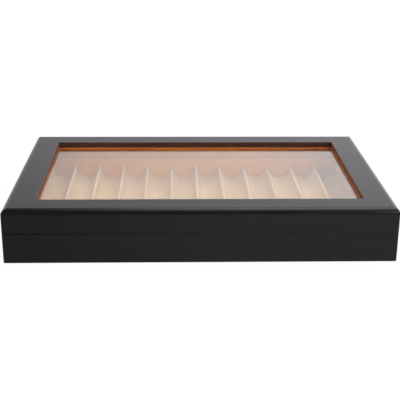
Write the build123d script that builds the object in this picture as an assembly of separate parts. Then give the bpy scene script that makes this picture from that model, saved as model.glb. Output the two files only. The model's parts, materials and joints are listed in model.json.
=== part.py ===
from build123d import *
import os

# A flat presentation chest for pens: a lacquered base with a slotted, fabric-covered tray,
# and a glazed lid that turns on two brass butt hinges at the rear.
#
# All sizes are in millimetres. The origin is at the middle of the underside, on the table.
# +X runs to the viewer's right, +Y from the front to the hinged rear, +Z up.

# Driving dimensions: the chest as a whole
width = 342.9  # outside, left to right
depth = 228.6  # outside, front to rear
base_height = 27.1  # table to the seam between base and lid
lid_height = 22.1  # seam to the top of the lid's frame
wall_thickness = 12.0
corner_round = 1.5  # upright outer corners
top_round = 5.4  # round-over along the lid's top edges
eased_edge = 0.4  # small chamfers at the seam and along the foot

# Driving dimensions: linings, bottom panel and felt
lining_thickness = 1.2
felt_thickness = 0.5
panel_thickness = 2.8
panel_rabbet = 6.0  # how far the bottom panel reaches into the walls
panel_clearance = 0.3  # round the panel and the felt under it

# Driving dimensions: glazed frame of the lid
rail_width = 26.7  # outer edge of the lid to the window
rail_thickness = 10.0
window_round = 2.5  # corners of the window
lip_round = 0.6  # along the window's top edge
glass_drop = 5.0  # top of the pane below the top of the frame
glass_thickness = 2.0
glass_rabbet = 6.0  # how far the rabbet reaches past the window
glass_clearance = 0.5  # between the pane's edge and the rabbet
bead_round = 1.0  # lower edge of a glazing bead, on the window's side

# Driving dimensions: pen tray
slot_pitch = 25.8
slot_depth = 13.2  # tip of a ridge to the floor of a slot
ridge_width = 3.0  # between two slots, at the top
least_end_margin = 2.0  # least flat width left at each end of the row of slots
velvet_thickness = 0.8
core_floor = 0.7  # core left under a slot
tray_clearance = 0.3  # between the tray and the linings

# Driving dimensions: hinges and their screws
hinge_length = 38.0
hinge_inset = 62.0  # side of the chest to the middle of a hinge
leaf_reach = 9.0  # how far a leaf reaches into the wall
leaf_thickness = 1.3
leaf_clearance = 0.1  # round a leaf in its mortise
knuckle_count = 5
knuckle_radius = 2.2
knuckle_gap = 0.2  # between neighbouring knuckles
knuckle_clearance = 0.3  # between the knuckles and the rear of the chest
pin_radius = 1.0
pin_clearance = 0.05
pin_chamfer = 0.2
screws_per_leaf = 2
screw_length = 8.5
screw_tip = 1.5  # length of the pointed end
screw_radius = 1.1
screw_head_radius = 2.1
screw_clearance = 0.05
driver_slot_length = 2.6
driver_slot_width = 0.5
driver_slot_depth = 0.6

# Levels above the table
seam = base_height
top = seam + lid_height
rail_underside = top - rail_thickness
glass_top = top - glass_drop
glass_underside = glass_top - glass_thickness
panel_top = felt_thickness + panel_thickness
slot_floor = panel_top + core_floor + velvet_thickness
tray_top = slot_floor + slot_depth

# Places in plan
lining_face = wall_thickness + lining_thickness  # outside of the chest to a lining's face
rabbet_edge = rail_width - glass_rabbet
window_width = width - 2 * rail_width
window_depth = depth - 2 * rail_width
panel_inset = wall_thickness - panel_rabbet + panel_clearance
tray_inset = lining_face + tray_clearance
tray_width = width - 2 * tray_inset
slot_radius = (slot_pitch - ridge_width) / 2
slot_count = int((tray_width - 2 * least_end_margin) / slot_pitch)
axis_offset = knuckle_radius + knuckle_clearance  # rear of the chest to the hinge axis
axis_place = depth / 2 + axis_offset
hinge_place = width / 2 - hinge_inset

SIDES = ("front", "rear", "left", "right")
HINGES = {"left": -hinge_place, "right": hinge_place}
FLOOR = (Align.CENTER, Align.CENTER, Align.MIN)
CEILING = (Align.CENTER, Align.CENTER, Align.MAX)
LIFT = {"base": -1, "lid": 1}  # which way a leaf lies from the seam


def slab(inset, low, high):
    """A block as large as the chest less an inset on every side, between two levels."""
    plan_width = width - 2 * inset
    plan_depth = depth - 2 * inset
    return Pos(0, 0, low) * Box(plan_width, plan_depth, high - low, align=FLOOR)


def ring(outer_inset, inner_inset, low, high):
    """A rectangular ring between two insets from the outside of the chest."""
    return slab(outer_inset, low, high) - slab(inner_inset, low, high)


def upright_block(low, high):
    """The chest's outline with its rounded upright corners, between two levels."""
    outline = RectangleRounded(width, depth, corner_round)
    return Pos(0, 0, low) * extrude(outline, high - low)


def window_edges(shape, level):
    """The shape's edges round the window, on its highest or its lowest level."""
    x, y = width / 2 - rabbet_edge, depth / 2 - rabbet_edge
    edges = shape.edges().group_by(Axis.Z)[level]
    inside = edges.filter_by_position(Axis.X, -x, x, inclusive=(False, False))
    return inside.filter_by_position(Axis.Y, -y, y, inclusive=(False, False))


def mitred_share(side):
    """The part of the plan that belongs to one side, cut by the mitre at each corner."""
    x, y = width / 2, depth / 2
    inner_x, inner_y = x - rail_width, y - rail_width
    corners = {
        "front": [(-x, -y), (x, -y), (inner_x, -inner_y), (-inner_x, -inner_y)],
        "rear": [(x, y), (-x, y), (-inner_x, inner_y), (inner_x, inner_y)],
        "left": [(-x, y), (-x, -y), (-inner_x, -inner_y), (-inner_x, inner_y)],
        "right": [(x, -y), (x, y), (inner_x, inner_y), (inner_x, -inner_y)],
    }
    return extrude(make_face(Polyline(*corners[side], close=True)), top)


def rounded_section(span, plane):
    """The lid's section across one span, with its two top corners rounded."""
    outline = Pos(0, seam + lid_height / 2) * Rectangle(span, lid_height)
    top_corners = outline.vertices().group_by(Axis.Y)[-1]
    return plane * fillet(top_corners, top_round)


def base_form():
    """The outside of the base as one block."""
    block = upright_block(0, seam)
    levels = block.edges().group_by(Axis.Z)
    return chamfer(levels[0] + levels[-1], eased_edge)


def lid_form():
    """The outside of the lid as one block, rounded over along its top edges."""
    across = extrude(rounded_section(width, Plane.XZ), depth / 2, both=True)
    along = extrude(rounded_section(depth, Plane.YZ), width / 2, both=True)
    block = chamfer(upright_block(seam, top).edges().group_by(Axis.Z)[0], eased_edge)
    return block & across & along


def leaf_screw_places():
    """Places of the screws in a leaf, measured from the middle of the hinge's axis."""
    spacing = hinge_length / screws_per_leaf
    first = -hinge_length / 2 + spacing / 2
    row = -axis_offset - leaf_reach / 2
    return [Pos(first + spacing * i, row, 0) for i in range(screws_per_leaf)]


def hinge_spots():
    """Where the middle of each hinge's axis lies."""
    return {name: Pos(x, axis_place, seam) for name, x in HINGES.items()}


def screw_shape(part, clearance=0.0):
    """A countersunk screw, or the room for one. Its head lies at the seam."""
    radius = screw_radius + clearance
    head_radius = screw_head_radius + clearance
    head_height = head_radius - radius
    shank_length = screw_length - screw_tip
    head = Cone(radius, head_radius, head_height, align=CEILING)
    shank = Cylinder(radius, shank_length, align=CEILING)
    tip = Pos(0, 0, -shank_length) * Cone(0, radius, screw_tip, align=CEILING)
    shape = head + shank + tip
    return shape if part == "base" else shape.mirror(Plane.XY)


def screw(part):
    """A countersunk screw with a cross recess in its head."""
    slot = Box(driver_slot_length, driver_slot_width, 2 * driver_slot_depth)
    return screw_shape(part) - slot - Rot(0, 0, 90) * slot


def screws(part):
    """All the hinge screws of the base or the lid."""
    spots = [spot * place for spot in hinge_spots().values() for place in leaf_screw_places()]
    return [spot * screw(part) for spot in spots]


def screw_holes(part):
    """The room for all the hinge screws of the base or the lid."""
    spots = [spot * place for spot in hinge_spots().values() for place in leaf_screw_places()]
    return [spot * screw_shape(part, screw_clearance) for spot in spots]


def mortises(part):
    """The recesses for the hinge leaves, open at the rear of the chest."""
    length = hinge_length + 2 * leaf_clearance
    reach = leaf_reach + leaf_clearance
    recess = Pos(0, -axis_offset - reach / 2, 0) * Box(length, reach, 2 * leaf_thickness)
    return [spot * recess for spot in hinge_spots().values()]


def knuckle_spans(part):
    """Middle and length of the knuckles that belong to the base or the lid."""
    spacing = hinge_length / knuckle_count
    middles = [spacing * (i + 0.5) - hinge_length / 2 for i in range(knuckle_count)]
    own = middles[0::2] if part == "base" else middles[1::2]
    return own, spacing - knuckle_gap


def hinge_leaf(part):
    """One leaf with its knuckles, about the middle of the hinge's axis."""
    side = FLOOR if LIFT[part] > 0 else CEILING
    leaf = Pos(0, -axis_offset - leaf_reach / 2, 0) * Box(
        hinge_length, leaf_reach, leaf_thickness, align=side
    )
    middles, length = knuckle_spans(part)
    for middle in middles:
        web = Box(length, axis_offset, leaf_thickness, align=side)
        leaf += Pos(middle, -axis_offset / 2, 0) * web
        leaf += Pos(middle, 0, 0) * Rot(0, 90, 0) * Cylinder(knuckle_radius, length)
    leaf -= Rot(0, 90, 0) * Cylinder(pin_radius + pin_clearance, hinge_length)
    for place in leaf_screw_places():
        leaf -= place * screw_shape(part, screw_clearance)
    return leaf


def hinge_pin():
    """The pin through the knuckles, flush with their ends."""
    pin = Cylinder(pin_radius, hinge_length)
    ends = pin.edges().filter_by(GeomType.CIRCLE)
    return Rot(0, 90, 0) * chamfer(ends, pin_chamfer)


def base_walls():
    """The four mitred walls, rabbeted for the bottom panel and mortised for the hinges."""
    frame = base_form() - slab(wall_thickness, 0, seam)
    frame -= slab(wall_thickness - panel_rabbet, 0, panel_top)
    for cut in mortises("base") + screw_holes("base"):
        frame -= cut
    return {f"base_{side}_wall": frame & mitred_share(side) for side in SIDES}


def bottom_panel():
    """The panel in the walls' rabbet, held above the foot by the felt's thickness."""
    return slab(panel_inset, felt_thickness, panel_top)


def underside_felt():
    """The felt on the panel's underside, flush with the foot of the walls."""
    return slab(panel_inset, 0, felt_thickness)


def linings(part, low, high):
    """The four mitred lining strips inside the walls of the base or the lid."""
    strip = ring(wall_thickness, lining_face, low, high)
    return {f"{part}_{side}_lining": strip & mitred_share(side) for side in SIDES}


def slot_row(radius):
    """The room above all the slots: half-round floors and upright sides."""
    floor = Rot(90, 0, 0) * Cylinder(radius, depth)
    room = floor + Box(2 * radius, depth, top, align=FLOOR)
    first = -slot_pitch * (slot_count - 1) / 2
    axis_level = slot_floor + slot_radius
    return [Pos(first + slot_pitch * i, 0, axis_level) * room for i in range(slot_count)]


def tray_parts():
    """The tray's core, and the velvet that covers its top."""
    core = slab(tray_inset, panel_top, tray_top - velvet_thickness)
    for room in slot_row(slot_radius + velvet_thickness):
        core -= room
    velvet = slab(tray_inset, panel_top, tray_top) - core
    for room in slot_row(slot_radius):
        velvet -= room
    return {"tray_core": core, "tray_velvet": velvet}


def lid_walls():
    """The four mitred walls under the lid's frame."""
    frame = lid_form() & slab(0, seam, rail_underside)
    frame -= slab(wall_thickness, seam, rail_underside)
    for cut in mortises("lid") + screw_holes("lid"):
        frame -= cut
    return {f"lid_{side}_wall": frame & mitred_share(side) for side in SIDES}


def lid_rails():
    """The four mitred rails round the window, rabbeted below for the glass."""
    window = RectangleRounded(window_width, window_depth, window_round)
    frame = lid_form() & slab(0, rail_underside, top)
    frame -= Pos(0, 0, rail_underside) * extrude(window, rail_thickness)
    frame = fillet(window_edges(frame, -1), lip_round)
    frame -= slab(rabbet_edge, rail_underside, glass_top)
    for cut in screw_holes("lid"):
        frame -= cut
    return {f"lid_{side}_rail": frame & mitred_share(side) for side in SIDES}


def glass_pane():
    """The pane, lying against the lip of the frame."""
    return slab(rabbet_edge + glass_clearance, glass_underside, glass_top)


def glazing_beads():
    """The four mitred beads that hold the pane up, flush with the rails' underside."""
    bead = ring(rabbet_edge, rail_width, rail_underside, glass_underside)
    bead = fillet(window_edges(bead, 0), bead_round)
    return {f"{side}_glazing_bead": bead & mitred_share(side) for side in SIDES}


def hinges():
    """Both hinges: leaves and pins, and the screws that hold them."""
    made = {}
    for name, spot in hinge_spots().items():
        for part in LIFT:
            made[f"{name}_hinge_{part}_leaf"] = spot * hinge_leaf(part)
        made[f"{name}_hinge_pin"] = spot * hinge_pin()
    for part in LIFT:
        made[f"{part}_hinge_screws"] = Compound(screws(part))
    return made


def all_nodes():
    """Every piece of the chest, by name."""
    nodes = base_walls()
    nodes["bottom_panel"] = bottom_panel()
    nodes["underside_felt"] = underside_felt()
    nodes.update(linings("base", panel_top, seam))
    nodes.update(tray_parts())
    nodes.update(lid_walls())
    nodes.update(lid_rails())
    nodes["glass_pane"] = glass_pane()
    nodes.update(glazing_beads())
    nodes.update(linings("lid", seam, rail_underside))
    nodes.update(hinges())
    return nodes


os.makedirs("parts", exist_ok=True)
for node, shape in all_nodes().items():
    export_step(shape, f"parts/{node}.step")
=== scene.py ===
import json
from math import pi, radians

import bmesh
import bpy
from mathutils import Matrix, Vector


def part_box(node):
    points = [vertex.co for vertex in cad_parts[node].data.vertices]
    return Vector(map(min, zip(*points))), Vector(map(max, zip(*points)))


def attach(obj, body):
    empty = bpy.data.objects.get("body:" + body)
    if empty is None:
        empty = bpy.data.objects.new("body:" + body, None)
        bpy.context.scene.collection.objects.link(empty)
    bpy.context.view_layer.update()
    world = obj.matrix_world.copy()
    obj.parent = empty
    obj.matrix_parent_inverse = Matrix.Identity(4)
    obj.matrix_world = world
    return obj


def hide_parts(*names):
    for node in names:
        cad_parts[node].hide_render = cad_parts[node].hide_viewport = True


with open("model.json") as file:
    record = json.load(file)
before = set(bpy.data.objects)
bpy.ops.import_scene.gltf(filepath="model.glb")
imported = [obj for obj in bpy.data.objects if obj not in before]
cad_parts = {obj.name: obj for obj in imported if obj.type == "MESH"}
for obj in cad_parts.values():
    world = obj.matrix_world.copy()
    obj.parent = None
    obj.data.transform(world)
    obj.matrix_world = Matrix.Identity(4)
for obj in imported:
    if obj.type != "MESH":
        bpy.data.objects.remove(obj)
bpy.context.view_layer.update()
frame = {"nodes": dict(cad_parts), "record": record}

# The looks of a flat pen chest: lacquered wood, a glazed lid and a fabric-covered tray with
# a row of half-round slots. Everything is in metres, in the chest's own frame: +X to the
# right as seen from the front, +Y to the hinged rear, +Z up, and the table at zero.

MM = 0.001
TOUCH = 0.001 * MM  # places nearer than this are one place
NODES = frame["nodes"]
PARTS = ("base", "lid")
SIDES = ("front", "rear", "left", "right")
GRAIN = {"front": "X", "rear": "X", "left": "Y", "right": "Y"}
INWARD = {"front": (0, 1, 0), "rear": (0, -1, 0), "left": (1, 0, 0), "right": (-1, 0, 0)}

# Tray cover
COVER_THICKNESS = 0.4 * MM
PILE_THICKNESS = 0.8 * MM  # velvet and its backing, from the core to the face of the pile
RIDGE_WIDTH = 3.0 * MM
RIDGE_HIGHLIGHT_REACH = 3.5 * MM  # how far down a ridge its painted highlight reaches
TURN_DOWN = 2 * MM  # of the cover over each end of the tray
CIRCLE_POINTS = 72  # round the full circle of a slot
TIP_STEPS = 4  # faces round each half of a ridge's tip
COVER_ROWS = 28  # faces along a slot
MERGE_WITHIN = 0.01 * MM  # where one slot's cover meets the next
LUMP_SIZE = 35 * MM  # width of the uneven places of the padding
LUMP_HEIGHT = 0.16 * MM  # from their lowest to their highest
SOFT_ANGLE = radians(60)  # edges that turn less than this are shaded smooth

# Linings and felt
LINING_ROUND = 0.55 * MM  # of the cloth over the edges of its strip
LINING_ANGLE = radians(50)  # edges that turn less than this are shaded smooth
FELT_BORDER = 2 * MM  # pressed rim of the felt
FELT_ROUND = 0.2 * MM

# Seam and window of the lacquered case
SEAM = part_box("lid_front_wall")[0].z
WINDOW = {"X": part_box("left_glazing_bead")[1].x, "Y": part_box("front_glazing_bead")[1].y}
LIP_FULL = 0.2 * MM  # how far past the window's edge the lip's stain, with its painted light and shade, is full
LIP_END = 0.7 * MM  # and where it ends

# Colours in linear light. A pair runs from one end of a finish's own variation to the other.
LACQUER = ((0.0022, 0.0012, 0.0012), (0.0038, 0.0020, 0.0019))
# browner lacquer along the lid's seam
SEAM_LACQUER_BROWN = (0.016, 0.008, 0.006)
AMBER = ((0.84, 0.23, 0.033), (0.87, 0.265, 0.043))
VELVET = ((0.785, 0.54, 0.262), (0.835, 0.60, 0.305))
VELVET_FIBRES = (0.875, 0.66, 0.37)
# painted highlight on the velvet's ridge tips
VELVET_RIDGE_HIGHLIGHT = (0.91, 0.635, 0.39)
VELVET_SHEEN = (1.0, 0.86, 0.72, 1)
LINING = ((0.865, 0.44, 0.095), (0.905, 0.48, 0.115))
LINING_FIBRES = (0.925, 0.54, 0.16)
# painted shade along the seam between the lid's and the base's linings
LINING_SEAM_SHADE = (0.50, 0.25, 0.09)
LINING_SHEEN = (1.0, 0.80, 0.60, 1)
FELT = ((0.010, 0.010, 0.011), (0.020, 0.020, 0.022))
FELT_FIBRES = (0.055, 0.055, 0.060)
BRASS = ((0.80, 0.57, 0.26), (0.60, 0.38, 0.15))
GLASS = (0.998, 1.0, 0.998, 1)
BOARD = ((0.23, 0.15, 0.085), (0.37, 0.26, 0.16))
FOAM = ((0.60, 0.50, 0.38), (0.47, 0.38, 0.28))

# Stain on the frame's inner edge, with painted light and shade in it: painted nearly black at front
# and rear, where the edge lies in shade, and painted lighter and browner at the sides, most on the
# right, where more light falls
LIP_STAIN_AND_SHADE = {
    "front": (0.030, 0.009, 0.0025),
    "rear": (0.030, 0.009, 0.0025),
    "left": (0.105, 0.031, 0.009),
    "right": (0.170, 0.062, 0.024),
}

# Light, where 1 is white
OVERHEAD_LIGHT = 3.8
LEFT_LIGHT = 4.26
RIGHT_LIGHT = 10.65
LIGHT_COLOUR = (0.935, 0.947, 1)
WHITE = (1, 1, 1)

# Floor, whose glow in reflections is made weaker to the left, which paints a darker reflection there
# on the lacquer
FLOOR_WIDTH = 12
FLOOR_COLOUR = (0.85, 0.85, 0.85, 1)
FLOOR_WHITENESS = 0.9  # share of plain white in it, for the rays that see it
FADE_FROM = 0.04  # place along X where the image starts to fall off
FADE_TO = -0.16  # and where it has faded
FADED = 0.56  # strength of the faded image

# Camera, fitted to the chest's outlines in the photograph
LENS = 80.58  # millimetres, as the sensor
SENSOR = 36
VIEWPOINT = (-0.024497, -0.827896, 0.319591)
LOOK_DOWN = radians(20.1288)
LOOK_RIGHT = radians(1.8401)
ROLL = radians(0.4559)


# ---------------------------------------------------------------- modelling in edit mode


def start_mesh(name, primitive, **settings):
    """Adds a primitive in edit mode, with nothing else selected, and returns its object."""
    bpy.ops.object.select_all(action="DESELECT")
    primitive(**settings)
    piece = bpy.context.active_object
    piece.name = name
    bpy.ops.object.transform_apply(location=True, rotation=True, scale=True)
    bpy.ops.object.mode_set(mode="EDIT")
    return piece


def block(name, low, high):
    """A box between two corners, open for shaping in edit mode."""
    cube = bpy.ops.mesh.primitive_cube_add
    return start_mesh(name, cube, size=1, location=(low + high) / 2, scale=high - low)


def finish_mesh():
    """Leaves edit mode with the faces pointing outwards."""
    bpy.ops.mesh.select_all(action="SELECT")
    bpy.ops.mesh.normals_make_consistent(inside=False)
    bpy.ops.object.mode_set(mode="OBJECT")


def select(piece, kind, wanted):
    """In edit mode, selects only the vertices, edges or faces that pass a test of their middle."""
    bpy.ops.mesh.select_mode(type=kind)
    bpy.ops.mesh.select_all(action="DESELECT")
    mesh = bmesh.from_edit_mesh(piece.data)
    items = {"VERT": mesh.verts, "EDGE": mesh.edges, "FACE": mesh.faces}[kind]
    for item in items:
        item.select_set(wanted(middle_of(item)))
    mesh.select_flush_mode()
    bmesh.update_edit_mesh(piece.data)


def middle_of(item):
    """The place of a vertex, or the middle of an edge or face."""
    if isinstance(item, bmesh.types.BMVert):
        return item.co
    return sum((corner.co for corner in item.verts), Vector()) / len(item.verts)


def extrude(move):
    """In edit mode, extrudes what is selected by a move."""
    bpy.ops.mesh.extrude_region_move(TRANSFORM_OT_translate={"value": move})


def apply_modifier(piece, kind, **settings):
    """Adds a modifier to a piece and applies it at once."""
    bpy.ops.object.select_all(action="DESELECT")
    bpy.context.view_layer.objects.active = piece
    piece.select_set(True)
    modifier = piece.modifiers.new(kind.title(), kind)
    for setting, value in settings.items():
        setattr(modifier, setting, value)
    bpy.ops.object.modifier_apply(modifier=modifier.name)


def corner_towards(low, high, way):
    """The corner of a box on the side that a direction points to, and else on its low side."""
    return Vector([high[axis] if way[axis] > 0 else low[axis] for axis in range(3)])


# ---------------------------------------------------------------- shader nodes

# In these helpers the owner of a node is a material or the world.


def feed(socket, value):
    """Sets a socket to a plain value, or links another node's output to it."""
    if isinstance(value, bpy.types.NodeSocket):
        socket.id_data.links.new(value, socket)
    else:
        socket.default_value = value


def add_node(owner, kind, settings=None, **inputs):
    """Adds a node with its settings, and feeds its sockets by name."""
    node = owner.node_tree.nodes.new(kind)
    for setting, value in (settings or {}).items():
        setattr(node, setting, value)
    for name, value in inputs.items():
        feed(node.inputs[name.replace("_", " ")], value)
    return node


def object_place(owner, stretch=(1, 1, 1)):
    """Object coordinates in metres, scaled along each axis."""
    place = add_node(owner, "ShaderNodeTexCoord").outputs["Object"]
    return add_node(owner, "ShaderNodeMapping", Vector=place, Scale=stretch).outputs["Vector"]


def place_along(owner, axis):
    """The place along one axis of the object's coordinates."""
    return add_node(owner, "ShaderNodeSeparateXYZ", Vector=object_place(owner)).outputs[axis]


def noise(owner, size, stretch=(1, 1, 1), detail=3, roughness=0.5):
    """Noise with features of a given size in metres, from 0 to 1."""
    where = object_place(owner, stretch)
    sockets = {"Vector": where, "Scale": 1 / size, "Detail": detail, "Roughness": roughness}
    return add_node(owner, "ShaderNodeTexNoise", **sockets).outputs["Fac"]


def grain_noise(owner, size, grain, length, roughness):
    """Fine noise drawn out along the grain, to so many times its size."""
    stretch = [1 / length if axis == grain else 1 for axis in "XYZ"]
    return noise(owner, size, stretch, detail=5, roughness=roughness)


def spread(owner, value, low, high, to_low=0, to_high=1, style="LINEAR"):
    """Maps a value from one range to another, held at both ends."""
    ranges = {"From_Min": low, "From_Max": high, "To_Min": to_low, "To_Max": to_high}
    shape = {"interpolation_type": style}
    return add_node(owner, "ShaderNodeMapRange", shape, Value=value, **ranges).outputs["Result"]


def maths(owner, operation, first, second=0):
    """One operation on two values, or on the first alone where it takes only one."""
    node = add_node(owner, "ShaderNodeMath", {"operation": operation})
    feed(node.inputs[0], first)
    feed(node.inputs[1], second)
    return node.outputs[0]


def product(owner, first, *others):
    """Values multiplied together."""
    for other in others:
        first = maths(owner, "MULTIPLY", first, other)
    return first


def blend_colours(owner, share, first, second):
    """A colour between two colours, each a value or another node's output."""
    node = add_node(owner, "ShaderNodeMix", {"data_type": "RGBA"}, Factor=share)
    ends = [socket for socket in node.inputs if socket.type == "RGBA"]
    for socket, colour in zip(ends, (first, second)):
        feed(socket, colour if isinstance(colour, bpy.types.NodeSocket) else (*colour, 1))
    return next(socket for socket in node.outputs if socket.type == "RGBA")


def bump(owner, height, depth, below=None):
    """A bump of a real depth in metres, on top of another bump if one is given."""
    node = add_node(owner, "ShaderNodeBump", Height=height, Distance=depth, Strength=1)
    if below is not None:
        feed(node.inputs["Normal"], below)
    return node.outputs["Normal"]


def new_material(name, **sockets):
    """A material with its main shader's own sockets set."""
    material = bpy.data.materials.new(name)
    material.use_nodes = True
    connect(material, **sockets)
    return material


def connect(material, **values):
    """Feeds the main shader's sockets by name."""
    shader = material.node_tree.nodes["Principled BSDF"]
    for name, value in values.items():
        feed(shader.inputs[name.replace("_", " ")], value)


# ---------------------------------------------------------------- finishes


def near_seam(material, core, fade, most=1):
    """A share that is highest within one distance of the lid's seam, and 0 past another."""
    height = maths(material, "SUBTRACT", place_along(material, "Z"), SEAM)
    return spread(material, maths(material, "ABSOLUTE", height), core, fade, most, 0)


def near_window(material):
    """1 on the inner edge of the frame round the window, and 0 elsewhere."""
    masks = []
    for axis, edge in WINDOW.items():
        reach = maths(material, "ABSOLUTE", place_along(material, axis))
        masks.append(spread(material, reach, abs(edge) + LIP_FULL, abs(edge) + LIP_END, 1, 0))
    return product(material, *masks)


def lacquer(name, grain, lip_stain_and_shade):
    """Near-black brown lacquer over wood, with its grain along one axis and a stained lip in which
    painted light and shade also stand.
    """
    material = new_material(name, IOR=1.32)
    streaks = grain_noise(material, 1.6 * MM, grain, length=30, roughness=0.6)
    clouds = noise(material, 45 * MM, detail=2)
    wood = blend_colours(material, spread(material, streaks, 0.35, 0.7), *LACQUER)
    # browner lacquer in patches along the lid's seam
    in_patches = spread(material, clouds, 0.4, 0.65)
    browner_at_seam = product(material, near_seam(material, core=0.2 * MM, fade=0.45 * MM), in_patches)
    edged = blend_colours(material, browner_at_seam, wood, SEAM_LACQUER_BROWN)
    lip = near_window(material)
    # painted light and shade: the lip's colour is stain, painted near black where the edge lies in
    # shade and lighter where more light falls
    colour = blend_colours(material, lip, edged, lip_stain_and_shade)
    polish = spread(material, clouds, 0.3, 0.7, 0.13, 0.19)
    gloss = maths(material, "MAXIMUM", polish, product(material, lip, 0.5))
    pores = maths(material, "MAXIMUM", spread(material, streaks, 0.25, 0.45), lip)
    orange_peel = noise(material, 3.5 * MM, detail=1)
    surface = bump(material, orange_peel, 0.004 * MM, bump(material, pores, 0.003 * MM))
    connect(material, Base_Color=colour, Roughness=gloss, Normal=surface)
    return material


def amber_stain(name, grain):
    """Amber-stained satin wood, for the glazing beads."""
    material = new_material(name, IOR=1.45)
    streaks = grain_noise(material, 1.2 * MM, grain, length=40, roughness=0.55)
    stain = blend_colours(material, spread(material, streaks, 0.3, 0.72), *AMBER)
    gloss = spread(material, streaks, 0.3, 0.7, 0.37, 0.43)
    connect(material, Base_Color=stain, Roughness=gloss, Normal=bump(material, streaks, 0.003 * MM))
    return material


def velvet():
    """Short-pile beige velvet, warm in the slots, with a painted highlight that makes the ridge tips
    paler and pinker.
    """
    material = new_material("beige velvet", Roughness=0.95, IOR=1.35)
    connect(material, Sheen_Weight=0.08, Sheen_Roughness=0.45, Sheen_Tint=VELVET_SHEEN)
    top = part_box("tray_velvet")[1].z
    pressed = noise(material, 14 * MM, (1, 0.5, 1), detail=4, roughness=0.6)
    brushed = noise(material, 1.1 * MM, (1, 0.35, 1))
    pile = blend_colours(material, spread(material, pressed, 0.32, 0.68), *VELVET)
    paler = spread(material, brushed, 0.3, 0.7, 0, 0.3)
    fibres = blend_colours(material, paler, pile, VELVET_FIBRES)
    # painted highlight: the pile is painted paler and pinker towards the ridge tips, where more
    # light falls
    ridge = spread(material, place_along(material, "Z"), top - RIDGE_HIGHLIGHT_REACH, top)
    colour = blend_colours(material, ridge, fibres, VELVET_RIDGE_HIGHLIGHT)
    grit = noise(material, 0.35 * MM, detail=2)
    surface = bump(material, grit, 0.10 * MM, bump(material, pressed, 0.15 * MM))
    connect(material, Base_Color=colour, Normal=surface)
    return material


def lining_cloth():
    """Caramel suede-like cloth on the inside of the walls, with painted shade along the lid's seam.
    """
    material = new_material("caramel lining cloth", Roughness=0.92, IOR=1.35)
    connect(material, Sheen_Weight=0.05, Sheen_Roughness=0.5, Sheen_Tint=LINING_SHEEN)
    nap = noise(material, 9 * MM, detail=4, roughness=0.6)
    fibres = noise(material, 0.6 * MM)
    tone = blend_colours(material, spread(material, nap, 0.3, 0.7), *LINING)
    paler = spread(material, fibres, 0.3, 0.7, 0, 0.35)
    cloth = blend_colours(material, paler, tone, LINING_FIBRES)
    # painted shade: the cloth is darkened along the seam, where shade falls in the groove between
    # the strips
    seam_shade = near_seam(material, core=0.7 * MM, fade=1.3 * MM, most=0.4)
    colour = blend_colours(material, seam_shade, cloth, LINING_SEAM_SHADE)
    connect(material, Base_Color=colour, Normal=bump(material, fibres, 0.06 * MM))
    return material


def black_felt():
    """Pressed black felt, with paler fibres in it."""
    material = new_material("black felt", Roughness=1.0, IOR=1.35, Sheen_Weight=0.3)
    strands = noise(material, 0.7 * MM, (1, 0.3, 1), detail=4, roughness=0.7)
    matted = noise(material, 6 * MM)
    dark = blend_colours(material, matted, *FELT)
    colour = blend_colours(material, spread(material, strands, 0.6, 0.8), dark, FELT_FIBRES)
    connect(material, Base_Color=colour, Normal=bump(material, strands, 0.12 * MM))
    return material


def satin_brass():
    """Brushed brass of the hinges and screws, duller where it has tarnished."""
    material = new_material("satin brass", Metallic=1.0)
    brushed = noise(material, 0.25 * MM, (0.05, 1, 1))
    tarnish = noise(material, 5 * MM, detail=4, roughness=0.6)
    colour = blend_colours(material, spread(material, tarnish, 0.4, 0.75), *BRASS)
    gloss = spread(material, tarnish, 0.3, 0.75, 0.22, 0.42)
    connect(material, Base_Color=colour, Roughness=gloss, Normal=bump(material, brushed, 0.006 * MM))
    return material


def clear_glass():
    """Float glass, with a trace of the green that such glass has."""
    return new_material("clear glass", Roughness=0, IOR=1.5, Transmission_Weight=1, Base_Color=GLASS)


def panel_board():
    """Plain fibreboard of the bottom panel."""
    material = new_material("panel board", Roughness=0.75)
    flecks = noise(material, 0.8 * MM, (1, 0.4, 1), detail=5, roughness=0.7)
    colour = blend_colours(material, flecks, *BOARD)
    connect(material, Base_Color=colour, Normal=bump(material, flecks, 0.03 * MM))
    return material


def tray_foam():
    """Closed-cell foam of the tray's core."""
    material = new_material("tray foam", Roughness=0.85)
    place = object_place(material)
    cells = add_node(material, "ShaderNodeTexVoronoi", Vector=place, Scale=1 / (0.9 * MM))
    shade = spread(material, cells.outputs["Distance"], 0.1, 0.7)
    colour = blend_colours(material, shade, *FOAM)
    connect(material, Base_Color=colour, Normal=bump(material, shade, 0.08 * MM))
    return material


def paint(material, *names):
    """Puts a finish on CAD nodes, in their own slots."""
    for name in names:
        NODES[name].material_slots[0].material = material


# ---------------------------------------------------------------- tray cover


def slot_centres():
    """Where the slots lie along X, from the boxes that the record keeps open for the pens."""
    openings = frame["record"]["physics"]["openings"]
    boxes = [opening["box_m"] for opening in openings if opening["name"].startswith("pen_slot")]
    return [(low[0] + high[0]) / 2 for low, high in boxes]


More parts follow.
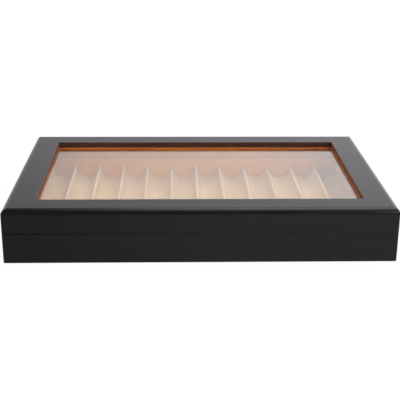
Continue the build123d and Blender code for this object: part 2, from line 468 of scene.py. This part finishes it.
def slot_cover(low, high, pitch, centre):
    """Velvet over one slot, from the tip of one ridge to the next, as a single skin."""
    radius = (pitch - RIDGE_WIDTH) / 2
    shoulder = high.z - RIDGE_WIDTH / 2
    axis_level = low.z + PILE_THICKNESS + radius
    # The lower half of a circle, in the plane of the tray's front end
    piece = start_mesh(
        "slot",
        bpy.ops.mesh.primitive_circle_add,
        vertices=CIRCLE_POINTS,
        radius=radius,
        location=(centre, low.y, axis_level),
        rotation=(pi / 2, 0, 0),
    )
    select(piece, "VERT", lambda place: place.z > min(shoulder, axis_level) + TOUCH)
    bpy.ops.mesh.delete(type="VERT")
    # On either side a straight wall and a quarter turn, up to the tip of the ridge
    for side in (-1, 1):
        select_outermost(piece, side)
        corner = Vector((centre + side * radius, low.y, shoulder))
        extrude(corner - middle_of_selected(piece))
        ridge = Vector((centre + side * pitch / 2, low.y, shoulder))
        bpy.ops.mesh.spin(steps=TIP_STEPS, angle=-side * pi / 2, center=ridge, axis=(0, 1, 0))
    # Along the slot, from the front end to the rear
    bpy.ops.mesh.select_all(action="SELECT")
    for _ in range(COVER_ROWS):
        extrude((0, (high.y - low.y) / COVER_ROWS, 0))
    bpy.ops.object.mode_set(mode="OBJECT")
    return piece


def select_outermost(piece, side):
    """In edit mode, selects the vertices that lie furthest out on one side along X."""
    rim = max(vertex.co.x * side for vertex in bmesh.from_edit_mesh(piece.data).verts)
    select(piece, "VERT", lambda place: place.x * side > rim - TOUCH)


def middle_of_selected(piece):
    """In edit mode, the middle of the selected vertices."""
    vertices = bmesh.from_edit_mesh(piece.data).verts
    places = [vertex.co for vertex in vertices if vertex.select]
    return sum(places, Vector()) / len(places)


def turn_down_end(piece, side, tip, edge):
    """In edit mode, carries the cover from the last ridge over the margin and down its end."""
    select(piece, "EDGE", lambda place: abs(place.x - tip) < TOUCH)
    extrude((edge - tip - side * COVER_THICKNESS, 0, 0))
    extrude((side * COVER_THICKNESS, 0, -COVER_THICKNESS))
    extrude((0, 0, -TURN_DOWN))


def face_up(piece):
    """Turns an open skin over if its faces point down, taken together."""
    if sum(face.normal.z * face.area for face in piece.data.polygons) > 0:
        return
    bpy.ops.object.mode_set(mode="EDIT")
    bpy.ops.mesh.select_all(action="SELECT")
    bpy.ops.mesh.flip_normals()
    bpy.ops.object.mode_set(mode="OBJECT")


def thicken_cover(piece):
    """Gives the cover its thickness, downwards, and the slight unevenness of its padding."""
    apply_modifier(piece, "SOLIDIFY", thickness=COVER_THICKNESS, offset=-1, use_even_offset=True)
    lumps = bpy.data.textures.new("uneven padding", "CLOUDS")
    lumps.noise_scale = LUMP_SIZE
    settings = {"texture_coords": "LOCAL", "strength": LUMP_HEIGHT, "mid_level": 0.5}
    apply_modifier(piece, "DISPLACE", texture=lumps, **settings)
    bpy.ops.object.shade_smooth_by_angle(angle=SOFT_ANGLE)


def tray_cover():
    """The velvet over the whole tray: one slot modelled, copied along the row and joined."""
    low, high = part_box("tray_velvet")
    centres = slot_centres()
    pitch = centres[1] - centres[0]
    piece = slot_cover(low, high, pitch, centres[0])
    piece.name = "tray_cover"
    apply_modifier(
        piece,
        "ARRAY",
        count=len(centres),
        use_relative_offset=False,
        use_constant_offset=True,
        constant_offset_displace=(pitch, 0, 0),
        use_merge_vertices=True,
        merge_threshold=MERGE_WITHIN,
    )
    bpy.ops.object.mode_set(mode="EDIT")
    turn_down_end(piece, -1, centres[0] - pitch / 2, low.x)
    turn_down_end(piece, 1, centres[-1] + pitch / 2, high.x)
    finish_mesh()
    face_up(piece)
    thicken_cover(piece)
    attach(piece, "base")
    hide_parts("tray_velvet")
    return piece


# ---------------------------------------------------------------- linings and felt


def lining_strip(part, side):
    """A cloth-covered strip with soft edges, mitred at both ends as the one it stands for."""
    node = f"{part}_{side}_lining"
    low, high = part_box(node)
    inward = Vector(INWARD[side])
    face = corner_towards(low, high, inward)

    def on_face_edge(place):
        level = min(abs(place.z - low.z), abs(place.z - high.z))
        return level < TOUCH and abs((place - face).dot(inward)) < TOUCH

    piece = block(f"{part}_{side}_lining_cloth", low, high)
    mitre_ends(low, high, inward)
    select(piece, "EDGE", on_face_edge)
    bpy.ops.mesh.bevel(offset=LINING_ROUND, segments=4, affect="EDGES")
    finish_mesh()
    bpy.ops.object.shade_smooth_by_angle(angle=LINING_ANGLE)
    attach(piece, part)
    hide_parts(node)
    return piece


def mitre_ends(low, high, inward):
    """In edit mode, cuts both ends of a strip at 45 degrees, from the wall's corners inwards."""
    along = Vector((abs(inward.y), abs(inward.x), 0))
    for end in (-along, along):
        corner = corner_towards(low, high, end - inward)
        bpy.ops.mesh.select_all(action="SELECT")
        bpy.ops.mesh.bisect(plane_co=corner, plane_no=end + inward, use_fill=True, clear_outer=True)


def underside_felt():
    """The felt pad under the chest, with its edges slightly pressed down."""
    low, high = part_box("underside_felt")
    piece = block("foot_felt", low, high)
    select(piece, "FACE", lambda place: place.z < low.z + TOUCH)
    bpy.ops.mesh.inset(thickness=FELT_BORDER, depth=0)
    select(piece, "EDGE", lambda place: place.z < low.z + TOUCH and on_outline(place, low, high))
    bpy.ops.mesh.bevel(offset=FELT_ROUND, segments=3, affect="EDGES")
    finish_mesh()
    bpy.ops.object.shade_smooth_by_angle(angle=SOFT_ANGLE)
    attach(piece, "base")
    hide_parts("underside_felt")
    return piece


def on_outline(place, low, high):
    """Whether a place lies on the outline of a box, seen from above."""
    gaps = (place.x - low.x, high.x - place.x, place.y - low.y, high.y - place.y)
    return min(gaps) < TOUCH


# ---------------------------------------------------------------- studio and camera


def studio():
    """A pale floor under a soft surround, which gives all the light."""
    bpy.ops.object.select_all(action="DESELECT")
    bpy.ops.mesh.primitive_plane_add(size=FLOOR_WIDTH)
    floor = bpy.context.active_object
    floor.name = "floor"
    floor.data.materials.append(floor_material())
    surround()


def floor_material():
    """White floor that keeps a faint shadow: the camera and reflections see it near white.

    Reflections see its glow weaker a little to the left, a painted reflection that darkens the
    lacquer's image of it there.
    """
    material = bpy.data.materials.new("white floor")
    material.use_nodes = True
    material.node_tree.nodes.clear()
    rays = add_node(material, "ShaderNodeLightPath").outputs
    through = maths(material, "MAXIMUM", rays["Is Camera Ray"], rays["Is Transmission Ray"])
    # painted reflection: for reflections the floor glows less to the left
    painted_reflection_fade = spread(material, place_along(material, "X"), FADE_TO, FADE_FROM, FADED, 1)
    glow = maths(material, "MAXIMUM", through, painted_reflection_fade)
    seen = maths(material, "MAXIMUM", through, rays["Is Glossy Ray"])
    diffuse = add_node(material, "ShaderNodeBsdfDiffuse", Color=FLOOR_COLOUR)
    white = add_node(material, "ShaderNodeEmission", Color=(*WHITE, 1), Strength=glow)
    mix = add_node(material, "ShaderNodeMixShader", Fac=product(material, seen, FLOOR_WHITENESS))
    feed(mix.inputs[1], diffuse.outputs[0])
    feed(mix.inputs[2], white.outputs[0])
    add_node(material, "ShaderNodeOutputMaterial", Surface=mix.outputs[0])
    return material


def surround():
    """Soft light from all round, with three brighter patches, seen as plain white by the camera."""
    world = bpy.data.worlds.new("studio surround")
    bpy.context.scene.world = world
    world.use_nodes = True
    background = world.node_tree.nodes["Background"]
    direction = add_node(world, "ShaderNodeTexCoord").outputs["Generated"]
    x, y, z = add_node(world, "ShaderNodeSeparateXYZ", Vector=direction).outputs
    light = wrap_light(world, x, y, z)
    for patch in (overhead_light, side_lights):
        light = maths(world, "ADD", light, patch(world, x, y, z))
    camera_ray = add_node(world, "ShaderNodeLightPath").outputs["Is Camera Ray"]
    strength = add_node(world, "ShaderNodeMix", Factor=camera_ray, A=light, B=1)
    feed(background.inputs["Strength"], strength.outputs["Result"])
    feed(background.inputs["Color"], blend_colours(world, camera_ray, LIGHT_COLOUR, WHITE))


# Each light is a product of smooth ramps along the unit vector that points to it: +X to the
# right, +Y away from the camera and +Z up.


def ramp(owner, value, low, high, to_low=0, to_high=1):
    """A smooth change of light between two places along one axis."""
    return spread(owner, value, low, high, to_low, to_high, "SMOOTHSTEP")


def wrap_light(world, x, y, z):
    """Light from all round: brighter to the right and behind, and weaker straight above."""
    return product(
        world,
        ramp(world, x, -0.33, 0.33, 0.69, 1.20),  # from left to right
        ramp(world, y, -0.75, 0.75, 0.40, 1.02),  # from front to rear
        ramp(world, z, 0.5, 0.9, 1, 0.7),  # from the sides to straight above
    )


def overhead_light(world, x, y, z):
    """A softbox overhead, a little to the right."""
    return product(
        world,
        ramp(world, x, -0.16, 0.06),  # its left edge
        ramp(world, x, 0.25, 0.45, 1, 0),  # its right edge
        ramp(world, y, -0.62, 0.0),  # its front edge
        ramp(world, z, 0.66, 0.86, 0, OVERHEAD_LIGHT),  # its height
    )


def side_lights(world, x, y, z):
    """A softbox on either side of the camera, the right one stronger."""
    aside = maths(world, "ABSOLUTE", x)
    return product(
        world,
        ramp(world, aside, 0.22, 0.36),  # inner edge
        ramp(world, aside, 0.58, 0.78, 1, 0),  # outer edge
        ramp(world, y, -0.5, -0.15, 1, 0),  # only in front of the chest
        ramp(world, z, 0.22, 0.36),  # lower edge
        ramp(world, z, 0.64, 0.80, 1, 0),  # upper edge
        ramp(world, x, -0.3, 0.3, LEFT_LIGHT, RIGHT_LIGHT),
    )


def camera():
    """The photograph's viewpoint: a little left of the middle, looking down over the front."""
    optics = bpy.data.cameras.new("camera")
    optics.lens = LENS
    optics.sensor_width = SENSOR
    stand = bpy.data.objects.new("camera", optics)
    bpy.context.scene.collection.objects.link(stand)
    aim = Matrix.Rotation(-LOOK_RIGHT, 4, "Z") @ Matrix.Rotation(pi / 2 - LOOK_DOWN, 4, "X")
    stand.matrix_world = Matrix.Translation(VIEWPOINT) @ aim @ Matrix.Rotation(ROLL, 4, "Z")
    bpy.context.scene.camera = stand


# ---------------------------------------------------------------- the chest


def finish_wood():
    """Lacquer on the walls and rails, and amber stain on the beads, with the grain lengthwise; each
    side's lacquer carries that side's painted light and shade on its lip.
    """
    for side in SIDES:
        grain = GRAIN[side]
        # painted light and shade: each side's lacquer gets its own lip colour
        coat = lacquer(f"dark lacquer, {side}", grain, LIP_STAIN_AND_SHADE[side])
        paint(coat, f"base_{side}_wall", f"lid_{side}_wall", f"lid_{side}_rail")
        paint(amber_stain(f"amber stain, {side}", grain), f"{side}_glazing_bead")


def finish_metal():
    """Brass on the hinges, their pins and their screws."""
    brass = satin_brass()
    for hinge in ("left", "right"):
        paint(brass, f"{hinge}_hinge_base_leaf", f"{hinge}_hinge_lid_leaf", f"{hinge}_hinge_pin")
    paint(brass, "base_hinge_screws", "lid_hinge_screws")


def dress():
    """Every finish and every soft piece of the chest."""
    finish_wood()
    finish_metal()
    paint(clear_glass(), "glass_pane")
    paint(panel_board(), "bottom_panel")
    paint(tray_foam(), "tray_core")
    tray_cover().data.materials.append(velvet())
    underside_felt().data.materials.append(black_felt())
    cloth = lining_cloth()
    for part in PARTS:
        for side in SIDES:
            lining_strip(part, side).data.materials.append(cloth)


dress()
studio()
camera()
bpy.context.scene.view_settings.view_transform = "Standard"
